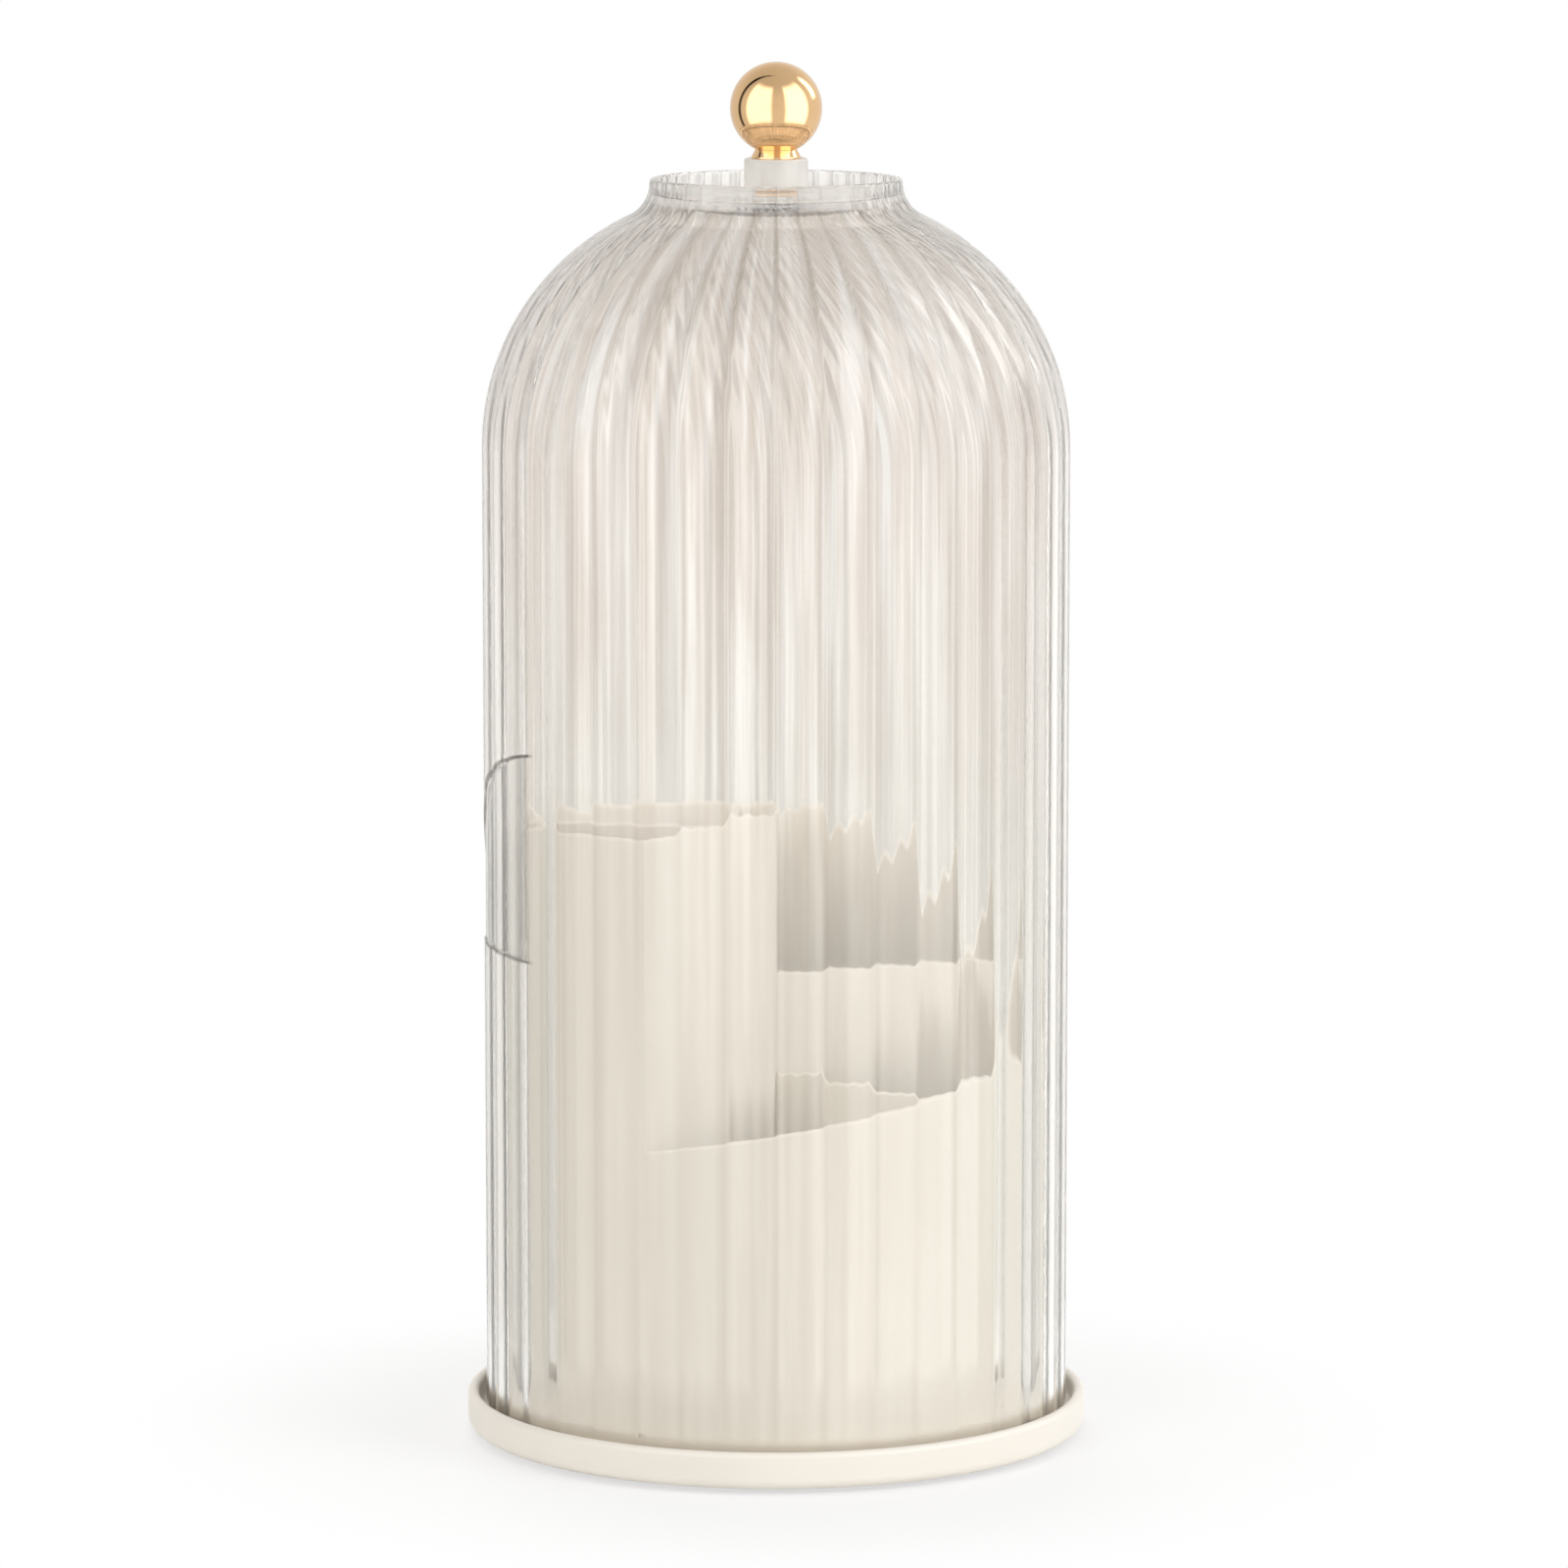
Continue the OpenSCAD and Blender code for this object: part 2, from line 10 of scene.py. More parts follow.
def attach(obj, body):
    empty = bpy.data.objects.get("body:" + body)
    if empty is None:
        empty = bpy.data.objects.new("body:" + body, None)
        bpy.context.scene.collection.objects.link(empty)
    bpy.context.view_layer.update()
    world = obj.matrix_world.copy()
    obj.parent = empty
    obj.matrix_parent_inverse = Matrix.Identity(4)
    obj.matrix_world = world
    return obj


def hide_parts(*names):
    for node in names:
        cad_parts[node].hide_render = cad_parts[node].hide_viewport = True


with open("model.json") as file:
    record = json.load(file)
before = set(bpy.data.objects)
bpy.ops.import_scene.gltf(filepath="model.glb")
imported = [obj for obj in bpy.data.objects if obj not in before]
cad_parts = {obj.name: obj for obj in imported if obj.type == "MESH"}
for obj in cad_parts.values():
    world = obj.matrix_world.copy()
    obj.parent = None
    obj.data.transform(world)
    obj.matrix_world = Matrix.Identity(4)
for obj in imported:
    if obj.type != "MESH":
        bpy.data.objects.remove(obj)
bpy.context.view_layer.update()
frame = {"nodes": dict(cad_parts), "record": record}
nodes = frame["nodes"]
scene = bpy.context.scene

# Sizes of the solids, in millimetres and degrees. Angles in plan are counted from the front.

FLUTES, FLUTE_DEPTH = 38, 0.6
FLUTE_COLS = FLUTES * 12                       # columns of a fluted surface
STUD_R = 2.56

# Front shell: a wall, a shoulder arc, a hollow fillet at the neck and a rim
SHELL_R, FRONT_IN, FRONT_Z = 70.5, 67.9, 5.65
SHOULDER_Z, ARC_X, ARC_R, NECK_A = 239.45, 9.5, 61.0, 65
RIM_R, RIM_T = 30.2, 2.0
NECK_X = ARC_X + ARC_R * math.cos(math.radians(NECK_A))
NECK_Z = SHOULDER_Z + ARC_R * math.sin(math.radians(NECK_A))
FILLET = (NECK_X - RIM_R) / (1 - math.cos(math.radians(NECK_A)))
BAND_Z = NECK_Z + FILLET * math.sin(math.radians(NECK_A))
RIM_Z = BAND_Z + 1.0
TOP_Z = RIM_Z - 4.5                            # recessed top, upper and under face
TOP_UNDER = TOP_Z - 2.0
CROWN_Z = RIM_Z - 10.8                         # above it the front shell is whole all round
BACK_GAP = (102, 258)
LUG_OUT, LUG_IN, LUG_FROM, LUG_SWEEP = 69.8, 68.7, -92.5, 5

# Finger pull in the front shell: a D with a bowed outline at one side
PULL_Z, PULL_H, PULL_W, PULL_BOW, PULL_CORNER, PULL_A = 120.3, 49.6, 44.0, 1.3, 4, -57.5
PULL_HALF = math.degrees(PULL_W / SHELL_R / 2)
PULL_CHORD = 2 * SHELL_R * math.sin(math.radians(PULL_HALF))
PULL_EDGE_A = PULL_A - PULL_HALF               # the shallow end, where the bow is
FLOOR_DEPTH, FLOOR_FALL = 0.7, 0.45

# Rear shell, and the four tabs that stand in slots of the tray
REAR_R, REAR_IN, REAR_Z = 67.2, 65.0, 5.15
REAR_ARC_R, REAR_ARC_IN = 57.7, 55.5
REAR_TOP = TOP_UNDER - 0.9
REAR_UNDER = REAR_TOP - 2.2
REAR_BORE, HUB_R, TOP_FLAT_R, TOP_MEETS_R = 4.05, 16, 18, 24
FRONT_GAP = (-88, 88)
TAB_ANGLES = (110, 150, 210, 250)
TAB_IN, TAB_OUT, TAB_HALF, TAB_Z = 65.15, 66.47, 4, 2.25
SLOT_IN, SLOT_OUT, SLOT_HALF, SLOT_Z = 64.45, 66.9, 4.3, 2.3

# Tray
TRAY_R, LIP_IN, LIP_Z, DECK_R, DECK_Z = 75.0, 72.2, 9.95, 67.5, 8.45
GROOVE_Z = 5.15                                # floor of the groove behind the lip
SEAT_FROM, SEAT_SWEEP, SEAT_OUT, SEAT_IN = 91.7, 176.6, 68.0, 64.8
TRACK_FROM, TRACK_SWEEP, TRACK_OUT, TRACK_IN, TRACK_Z = -92.9, 185.8, 70.2, 68.3, 4.15

# Holder: its rim rises from a step at the front all the way round
STEP_A, HOLDER_R, WALL, COMPARTMENTS = -31.4, 59.4, 2.0, 5
RIM_LOW, RIM_MID, RIM_BACK, RIM_HIGH = 77.3, 93.3, 144.5, 151.6
MID_TURN, BACK_TURN, HIGH_TURN = 92, 215, 348  # turns from the step at which they are reached
SHARE_A = 360 / COMPARTMENTS

# Knob, collar and spacer
SPACER_TOP = TOP_Z + 1.5
COLLAR_TOP = SPACER_TOP + 7.75
BALL_R = 11
BALL_Z = COLLAR_TOP + 0.9 + BALL_R

# Rounded edges as steps of (inward, up or down), and of the share of the flute depth
LOWER_EDGE = ((0.8, 0.0, 0.3), (0.25, 0.2, 1), (0.0, 0.7, 1))
RIM_OUTER = ((0.0, 0.9, 1), (0.12, 0.4, 1), (0.45, 0.08, 0.8), (0.9, 0.0, 0.5))
RIM_INNER = ((0.7, 0.0), (0.3, 0.12), (0.05, 0.45), (0.0, 0.9))
TOP_CORNER = ((0.0, 0.8), (0.25, 0.25), (0.8, 0.0))


# Meshes

def link(obj):
    scene.collection.objects.link(obj)
    return obj


def mesh_object(name, verts, faces):
    """An object from points in millimetres."""
    mesh = bpy.data.meshes.new(name)
    mesh.from_pydata([(x / 1000, y / 1000, z / 1000) for x, y, z in verts], [], faces)
    mesh.validate()
    mesh.update()
    return link(bpy.data.objects.new(name, mesh))


def around(theta):
    """Direction in plan of an angle in degrees counted from the front."""
    t = math.radians(theta)
    return math.sin(t), -math.cos(t)


def beside(theta, r, w):
    """Plan point at r along an angle and w across it."""
    (ex, ey), (tx, ty) = around(theta), around(theta + 90)
    return ex * r + tx * w, ey * r + ty * w


def arc(cx, cz, r, a0, a1, steps, depth=None):
    """Points of a profile on an arc, with a flute depth if one is given."""
    out = []
    for i in range(steps + 1):
        a = math.radians(a0 + (a1 - a0) * i / steps)
        p = (cx + r * math.cos(a), cz + r * math.sin(a))
        out.append(p if depth is None else (*p, depth))
    return out


def lathe(name, profile, cols, flutes=0, closed=True, flute_r=SHELL_R):
    """Turns a profile of (r, z) or (r, z, flute depth) about Z, with convex flutes round it."""
    verts, faces = [], []
    rings = []
    for r, z, *given in profile:
        depth = given[0] if given else 0
        if r < 1e-6:
            rings.append([len(verts)] * cols)
            verts.append((0, 0, z))
            continue
        ring = []
        for k in range(cols):
            theta = 360 * k / cols
            u = (theta * flutes / 360) % 1 if flutes else 0
            rr = r - depth * (2 * u - 1) ** 2 * r / flute_r if depth else r
            x, y = around(theta)
            ring.append(len(verts))
            verts.append((rr * x, rr * y, z))
        rings.append(ring)
    pairs = list(zip(rings, rings[1:]))
    if closed:
        pairs.append((rings[-1], rings[0]))
    for lower, upper in pairs:
        for k in range(cols):
            k1 = (k + 1) % cols
            face = []
            for v in (lower[k], lower[k1], upper[k1], upper[k]):
                if v not in face:
                    face.append(v)
            if len(face) > 2:
                faces.append(face)
    return mesh_object(name, verts, faces)


def prism_faces(n):
    """Faces between two outlines of n points, the second after the first."""
    sides = [[i, (i + 1) % n, n + (i + 1) % n, n + i] for i in range(n)]
    return [list(range(n))[::-1], [n + i for i in range(n)]] + sides


def prism(name, outline, z0, z1):
    verts = [(x, y, z) for z in (z0, z1) for x, y in outline]
    return mesh_object(name, verts, prism_faces(len(outline)))


def wedge(name, a0, a1, r, z0, z1):
    steps = 24
    ring = [beside(a0 + (a1 - a0) * i / steps, r, 0) for i in range(steps + 1)]
    return prism(name, [(0, 0)] + ring, z0, z1)


def sector(a0, sweep, steps, r_out, r_in):
    """Outline of a sector of a ring."""
    angles = [a0 + i * sweep / steps for i in range(steps + 1)]
    return [beside(a, r_out, 0) for a in angles] + [beside(a, r_in, 0) for a in angles[::-1]]


def block(a, r_in, r_out, half):
    """Outline of a box that stands across the angle a."""
    corners = ((r_in, -half), (r_out, -half), (r_out, half), (r_in, half))
    return [beside(a, r, w) for r, w in corners]


def fix_normals(obj):
    bm = bmesh.new()
    bm.from_mesh(obj.data)
    bmesh.ops.recalc_face_normals(bm, faces=bm.faces)
    bm.to_mesh(obj.data)
    bm.free()


def apply_modifiers(obj):
    deps = bpy.context.evaluated_depsgraph_get()
    mesh = bpy.data.meshes.new_from_object(obj.evaluated_get(deps))
    obj.modifiers.clear()
    old = obj.data
    obj.data = mesh
    bpy.data.meshes.remove(old)


def carve(obj, cutter, operation="DIFFERENCE"):
    """Boolean of two closed meshes, applied at once; the cutter is deleted.

    Faces from the cutter get material index 1, so that smooth() keeps their outline sharp.
    """
    fix_normals(obj)
    fix_normals(cutter)
    for mesh in (obj.data, cutter.data):
        while len(mesh.materials) < 2:
            mesh.materials.append(None)
    for face in cutter.data.polygons:
        face.material_index = 1
    mod = obj.modifiers.new("cut", "BOOLEAN")
    mod.object, mod.operation, mod.solver = cutter, operation, "EXACT"
    apply_modifiers(obj)
    bpy.data.objects.remove(cutter)
    return obj


def smooth(obj, angle):
    """Smooth shading by weighted normals, with edges sharper than the angle kept."""
    bm = bmesh.new()
    bm.from_mesh(obj.data)
    bmesh.ops.remove_doubles(bm, verts=bm.verts, dist=1e-7)
    bmesh.ops.recalc_face_normals(bm, faces=bm.faces)
    limit = math.radians(angle)
    for f in bm.faces:
        f.smooth = True
    for e in bm.edges:
        e.smooth = (len(e.link_faces) == 2 and e.calc_face_angle(0) < limit
                    and e.link_faces[0].material_index == e.link_faces[1].material_index)
    for f in bm.faces:
        f.material_index = 0
    bm.to_mesh(obj.data)
    bm.free()
    mod = obj.modifiers.new("normals", "WEIGHTED_NORMAL")
    mod.weight, mod.keep_sharp = 100, True
    apply_modifiers(obj)


# Materials

class Wires:
    """Short hand for the nodes of one node tree."""

    def __init__(self, tree):
        self.tree = tree

    def put(self, socket, value):
        """Links an output to a socket, or sets the socket's own value."""
        if isinstance(value, bpy.types.NodeSocket):
            self.tree.links.new(value, socket)
        else:
            socket.default_value = value

    def node(self, kind, **inputs):
        node = self.tree.nodes.new("ShaderNode" + kind)
        for key, value in inputs.items():
            self.put(node.inputs[key.replace("_", " ")], value)
        return node

    def math(self, op, *args):
        node = self.node("Math")
        node.operation = op
        for socket, value in zip(node.inputs, args):
            self.put(socket, value)
        return node.outputs[0]

    def times(self, first, *more):
        for value in more:
            first = self.math("MULTIPLY", first, value)
        return first

    def size(self, value):
        return self.math("ABSOLUTE", value)

    def away(self, x, y):
        """Distance from the axis."""
        return self.math("SQRT", self.math("ADD", self.times(x, x), self.times(y, y)))

    def span(self, value, a, b, low, high):
        """Smooth step from low at a to high at b."""
        node = self.node("MapRange", Value=value, From_Min=a, From_Max=b, To_Min=low, To_Max=high)
        node.interpolation_type = "SMOOTHSTEP"
        return node.outputs["Result"]

    def spread(self, value, low, high):
        return self.node("MapRange", Value=value, To_Min=low, To_Max=high).outputs["Result"]

    def place(self, kind):
        """x, y and z of one kind of texture coordinates."""
        coord = self.node("TexCoord")
        return self.node("SeparateXYZ", Vector=coord.outputs[kind]).outputs

    def noise(self, scale, detail, stretch=(1, 1, 1)):
        """Noise in object space; scale is in cells per metre."""
        coord = self.node("TexCoord")
        mapping = self.node("Mapping", Vector=coord.outputs["Object"], Scale=stretch)
        tex = self.node("TexNoise", Vector=mapping.outputs["Vector"], Scale=scale, Detail=detail)
        return tex.outputs["Fac"]

    def ramp(self, fac, stops):
        node = self.node("ValToRGB", Fac=fac)
        elements = node.color_ramp.elements
        while len(elements) < len(stops):
            elements.new(0.5)
        for element, (position, color) in zip(elements, stops):
            element.position = position
            element.color = (*color, 1)
        return node.outputs["Color"]

    def blend(self, fac, first, second):
        """Colour from first to second, each an output or a constant colour."""
        return self.node("MixRGB", Fac=fac, Color1=first, Color2=second).outputs["Color"]

    def shader(self, fac, first, second):
        node = self.node("MixShader", Fac=fac)
        self.put(node.inputs[1], first)
        self.put(node.inputs[2], second)
        return node.outputs[0]

    def bump(self, bsdf, height, distance, strength=1.0):
        node = self.node("Bump", Height=height, Distance=distance, Strength=strength)
        self.put(bsdf.inputs["Normal"], node.outputs["Normal"])


def principled(name, color, **values):
    mat = bpy.data.materials.new(name)
    mat.use_nodes = True
    bsdf = mat.node_tree.nodes["Principled BSDF"]
    bsdf.inputs["Base Color"].default_value = (*color, 1)
    for key, value in values.items():
        bsdf.inputs[key.replace("_", " ")].default_value = value
    return mat, Wires(mat.node_tree), bsdf


def shaded(color, factor):
    return tuple(min(1, c * factor) for c in color)


def moulded(name, color, roughness, speckle=0.02):
    """Moulded opaque plastic: faint cloudiness, uneven gloss and a very fine grain."""
    mat, w, bsdf = principled(name, color, Roughness=roughness, IOR=1.5)
    w.put(bsdf.inputs["Base Color"], w.ramp(w.noise(22, 3), [(0.3, shaded(color, 1 - speckle)),
                                                             (0.7, shaded(color, 1 + speckle))]))
    w.put(bsdf.inputs["Roughness"], w.spread(w.noise(90, 3), roughness * 0.85, roughness * 1.15))
    w.bump(bsdf, w.noise(2600, 1), 0.00002, 0.06)
    return mat


def metal(name, color, roughness, scale=400, stretch=(1, 1, 1), relief=0.00002):
    mat, w, bsdf = principled(name, color, Roughness=roughness, Metallic=1.0)
    w.put(bsdf.inputs["Base Color"],
          w.ramp(w.noise(120, 3), [(0.35, shaded(color, 0.93)), (0.65, color)]))
    grain = w.noise(scale, 4, stretch)
    w.put(bsdf.inputs["Roughness"], w.spread(grain, roughness * 0.7, roughness * 1.4))
    w.bump(bsdf, grain, relief, 0.4)
    return mat


def clear(name, color, roughness, through):
    """Clear or frosted moulded plastic, with through as the share that light passes."""
    mat, w, bsdf = principled(name, color, Roughness=roughness, IOR=1.49,
                              Transmission_Weight=through)
    tint = w.ramp(w.noise(14, 2, (1, 1, 0.15)), [(0.3, shaded(color, 0.985)), (0.7, color)])
    w.put(bsdf.inputs["Base Color"], tint)
    return mat, w, bsdf, tint


# Zones of the shells' painted light and shade: from and to in metres of height, strength below
# and above
LIGHT_SHADE_STRIPE_ZONE = (0.10, 0.255, 0.18, 1.0)
VALLEY_SHADE_ZONE = (0.262, 0.288, 0.1, 0.7)
FOOT_SHADE_ZONE = (0.0085, 0.0125, 0.85, 0.0)
# Painted highlight: in this zone the tint lightens to near white at the rim
RIM_HIGHLIGHT_ZONE = (0.2965, 0.302, 0.0, 0.85)
# Painted highlight and shade: stripe colours from a shaded beige to near white
LIGHT_SHADE_STRIPES = [(0.38, (0.82, 0.77, 0.725)), (0.5, (0.90, 0.865, 0.83)), (0.6, (1.0, 0.99, 0.975))]
# Painted shade for the flute valleys and foot, painted shade along the pull, painted highlight at
# the rim
VALLEY_SHADE_TINT, PULL_SHADE_TINT, RIM_HIGHLIGHT_TINT = (0.60, 0.55, 0.49, 1), (0.14, 0.12, 0.10, 1), (1.0, 0.995, 0.985, 1)
RIPPLES_ROUND, RIPPLES_OUT = 114.0, 1208.0


def light_and_shade_stripes(w, x, y, z, away):
    """Painted highlights and shade: fine light and dark stripes along the flutes, from the foot
    over the shoulder to the neck.
    """
    place = w.node("CombineXYZ", X=w.math("DIVIDE", x, away), Y=w.math("DIVIDE", y, away),
                   Z=w.times(w.math("SUBTRACT", z, away), 0.5))
    tex = w.node("TexNoise", Vector=place.outputs[0], Scale=25.0, Detail=3.0)
    return w.ramp(tex.outputs["Fac"], LIGHT_SHADE_STRIPES)


def valley_and_foot_shade(w, x, y, z):
    """Painted shade: the tint is deeper in the valley of each flute at the neck, and at the foot.
    """
    turn = w.math("ARCTAN2", x, w.times(y, -1.0))
    flute = w.math("FRACT", w.times(turn, FLUTES / (2 * math.pi)))
    valley = w.span(w.size(w.math("SUBTRACT", flute, 0.5)), 0.36, 0.47, 0.0, 1.0)
    return w.math("MAXIMUM", w.times(valley, w.span(z, *VALLEY_SHADE_ZONE)), w.span(z, *FOOT_SHADE_ZONE))


def pull_shade_line(w, x, y, z):
    """Painted shade: a thin dark line along the finger pull's bowed outline and its lower edge.
    """
    tx, ty = around(PULL_EDGE_A + 90)
    across = w.math("ADD", w.times(x, tx * 1000), w.times(y, ty * 1000))
    t = w.math("SUBTRACT", 0.5, w.math("DIVIDE", across, PULL_CHORD))
    up = w.math("SUBTRACT", z, PULL_Z / 1000)
    v = w.math("DIVIDE", up, PULL_H / 1000)
    bow = w.math("POWER", w.math("MAXIMUM", t, 0.0), PULL_BOW)
    off = w.math("SUBTRACT", w.math("ADD", w.math("POWER", v, PULL_CORNER), bow), 1.0)
    # Divided by its own slope, off is the distance from the outline in millimetres
    slope = w.math("MULTIPLY_ADD", w.math("POWER", w.math("MAXIMUM", v, 0.0), 3.0), 0.05, 0.03)
    outline = w.times(w.span(w.size(w.math("DIVIDE", off, slope)), 0.19, 0.5, 0.88, 0.0),
                      w.span(v, -0.01, 0.0, 0.0, 1.0))
    lower = w.times(w.span(w.size(up), 0.0002, 0.0006, 0.45, 0.0),
                    w.span(t, 1.0, 1.02, 1.0, 0.0))
    return w.times(w.math("MAXIMUM", outline, lower), w.span(x, -0.005, -0.015, 0.0, 1.0),
                   w.span(t, -0.03, 0.0, 0.0, 1.0))


def clear_shell():
    """Clear plastic of the fluted shells, with painted highlight and shade stripes, painted shade
    in the flute valley at the neck, at the foot and along the pull, a painted rim highlight and
    faint ripples.
    """
    mat, w, bsdf, tint = clear("clear_plastic", (0.91, 0.905, 0.873), 0.06, through=0.92)
    x, y, z = w.place("Object")
    away = w.away(x, y)
    # Painted highlights and shade: light and dark stripes along the flutes, stronger higher up
    tint = w.blend(w.span(z, *LIGHT_SHADE_STRIPE_ZONE), tint, light_and_shade_stripes(w, x, y, z, away))
    # Painted shade: darker in the flute valley at the neck and at the foot
    tint = w.blend(valley_and_foot_shade(w, x, y, z), tint, VALLEY_SHADE_TINT)
    # Painted shade: a dark line along the finger pull's outline
    tint = w.blend(pull_shade_line(w, x, y, z), tint, PULL_SHADE_TINT)
    # Painted highlight: a pale band at the rim
    tint = w.blend(w.span(z, *RIM_HIGHLIGHT_ZONE), tint, RIM_HIGHLIGHT_TINT)
    w.put(bsdf.inputs["Base Color"], tint)
    ripples = w.math("COSINE", w.math("ADD", w.times(w.math("ARCTAN2", x, y), RIPPLES_ROUND),
                                      w.times(away, RIPPLES_OUT)))
    w.bump(bsdf, w.math("MULTIPLY_ADD", ripples, 0.35, w.noise(60, 2, (1, 1, 0.12))), 0.00004)
    return mat


SLOTS = {
    "cream_plastic": moulded("cream_plastic", (0.865, 0.818, 0.745), 0.38),
    "clear_plastic": clear_shell(),
    "frosted_plastic": clear("frosted_plastic", (0.97, 0.945, 0.90), 0.22, through=0.35)[0],
    "gold": metal("gold", (0.93, 0.615, 0.33), 0.07, 500, relief=0.00001),
    "steel": metal("steel", (0.84, 0.83, 0.81), 0.30, 900, (1, 1, 0.2)),
    "bearing_steel": metal("bearing_steel", (0.72, 0.73, 0.75), 0.10),
    "pad_rubber": moulded("pad_rubber", (0.10, 0.098, 0.095), 0.75, 0.1),
    "nylon": moulded("nylon", (0.80, 0.80, 0.77), 0.5),
}


def dress(obj, slot):
    obj.data.materials.clear()
    obj.data.materials.append(SLOTS[slot])


def piece(obj, body, slot, *replaced, angle):
    """Makes a mesh a piece of the scene, its edges sharper than the angle kept sharp."""
    smooth(obj, angle)
    dress(obj, slot)
    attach(obj, body)
    if replaced:
        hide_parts(*replaced)


for part in frame["record"]["subparts"]:
    dress(nodes[part["node"]], part["material_slot"])


# Front shell

WALL_ZS = (60, 120, 180)


def shell_profile():
    d = FLUTE_DEPTH
    rim_in = RIM_R - RIM_T
    wall = SHELL_R - FRONT_IN
    out = [(SHELL_R - inward, FRONT_Z + up, d * share) for inward, up, share in LOWER_EDGE]
    out += [(SHELL_R, z, d) for z in WALL_ZS]
    out += arc(ARC_X, SHOULDER_Z, ARC_R, 0, NECK_A, 30, d)
    out += arc(RIM_R + FILLET, BAND_Z, FILLET, 180 + NECK_A, 180, 12, d)[1:-1]
    out += [(RIM_R - inward, RIM_Z - down, d * share) for inward, down, share in RIM_OUTER]
    out += [(rim_in + outward, RIM_Z - down) for outward, down in RIM_INNER]
    out += [(rim_in - inward, TOP_Z + up) for inward, up in TOP_CORNER]
    out += [(STUD_R, TOP_Z), (STUD_R, TOP_UNDER)]
    top = math.degrees(math.asin((BAND_Z - TOP_UNDER) / (FILLET + wall)))
    out += arc(RIM_R + FILLET, BAND_Z, FILLET + wall, 180 + top, 180 + NECK_A, 10)
    out += arc(ARC_X, SHOULDER_Z, ARC_R - wall, NECK_A, 0, 24)[1:]
    out += [(FRONT_IN, z) for z in WALL_ZS[::-1]]
    out += [(FRONT_IN + outward, FRONT_Z + up) for outward, up, _ in LOWER_EDGE[::-1]]
    return out


def pull_cutter():
    """The pull's D as a prism, less a fluted core that leaves its sloping floor."""
    steps = 44
    outline = [(0, 0)]
    for i in range(steps + 1):
        t = math.sin(math.pi * i / (2 * steps))
        rise = max(0, 1 - t ** PULL_BOW) ** (1 / PULL_CORNER)
        outline.append((PULL_CHORD * t, PULL_H * rise))
    verts = [(*beside(PULL_EDGE_A, depth, PULL_CHORD / 2 - u), PULL_Z + v)
             for depth in (20.0, SHELL_R + 6) for u, v in outline]
    cutter = mesh_object("pull", verts, prism_faces(len(outline)))
    floor_r, d = SHELL_R - FLOOR_DEPTH, FLUTE_DEPTH * 0.7
    core = lathe("core", [(0, 60), (floor_r, 60, d), (floor_r, 200, d), (0, 200)], FLUTE_COLS,
                 FLUTES, closed=False)
    shift = FLOOR_FALL / math.sin(math.radians(PULL_HALF)) / 1000
    core.data.transform(Matrix.Translation((*beside(PULL_EDGE_A, 0, -shift), 0)))
    return carve(cutter, core)


front = lathe("front_shell_clear", shell_profile(), FLUTE_COLS, FLUTES)
carve(front, wedge("back_gap", *BACK_GAP, 90, -5, CROWN_Z))
carve(front, pull_cutter())
lug = sector(LUG_FROM, LUG_SWEEP, 4, LUG_OUT, LUG_IN)
carve(front, prism("lug", lug, FRONT_Z - 1.2, FRONT_Z + 1.5), "UNION")
piece(front, "door", "clear_plastic", "front_shell", angle=35)


# Rear shell

def rear_profile():
    d = FLUTE_DEPTH * 0.8
    out = [(REAR_R - 0.6, REAR_Z, d * 0.5), (REAR_R, REAR_Z + 0.5, d)]
    out += [(REAR_R, z, d) for z in WALL_ZS]
    end = math.degrees(math.acos((TOP_MEETS_R - ARC_X) / REAR_ARC_R))
    out += arc(ARC_X, SHOULDER_Z, REAR_ARC_R, 0, end, 26, d)
    out += [(TOP_FLAT_R, REAR_TOP), (REAR_BORE, REAR_TOP), (REAR_BORE, REAR_UNDER)]
    top = math.degrees(math.asin((REAR_UNDER - SHOULDER_Z) / REAR_ARC_IN))
    out += arc(ARC_X, SHOULDER_Z, REAR_ARC_IN, top, 0, 26)
    out += [(REAR_IN, z) for z in WALL_ZS[::-1]]
    out += [(REAR_IN, REAR_Z + 0.5), (REAR_IN + 0.6, REAR_Z)]
    return out


rear = lathe("rear_shell_clear", rear_profile(), FLUTE_COLS, FLUTES, flute_r=REAR_R)
carve(rear, wedge("front_gap", *FRONT_GAP, 90, -5, 320))
hub = [(REAR_BORE, REAR_UNDER), (HUB_R, REAR_UNDER), (HUB_R, REAR_TOP), (REAR_BORE, REAR_TOP)]
carve(rear, lathe("hub", hub, 96), "UNION")
for a in TAB_ANGLES:
    tab = block(a, TAB_IN, TAB_OUT, TAB_HALF)
    carve(rear, prism("tab", tab, TAB_Z, REAR_Z + 0.9), "UNION")
piece(rear, "turntable", "clear_plastic", "rear_shell", angle=35)


# Tray

def tray_profile():
    # Under side: pivot, race for the balls and the skirt round the foot
    p = [(0, 3.2), (5.4, 3.2), (6, 3.8), (6, 6.45), (43, 6.45), (43, 5.9), (49, 5.9), (49, 6.45),
         (63, 6.45), (63, 3.35), (72.0, 3.35), (LIP_IN, 3.1), (LIP_IN, 1.0)]
    # Outer wall, lip, groove and deck
    p += arc(TRAY_R - 2.5, 3.5, 2.5, -90, 0, 10)
    p += arc(TRAY_R - 1.4, LIP_Z - 1.4, 1.4, 0, 180, 16)
    p += [(LIP_IN, 5.4), (71.95, GROOVE_Z), (DECK_R, GROOVE_Z), (DECK_R, DECK_Z - 0.4)]
    p += arc(DECK_R - 0.4, DECK_Z - 0.4, 0.4, 0, 90, 4)
    p += [(0, DECK_Z)]
    return p


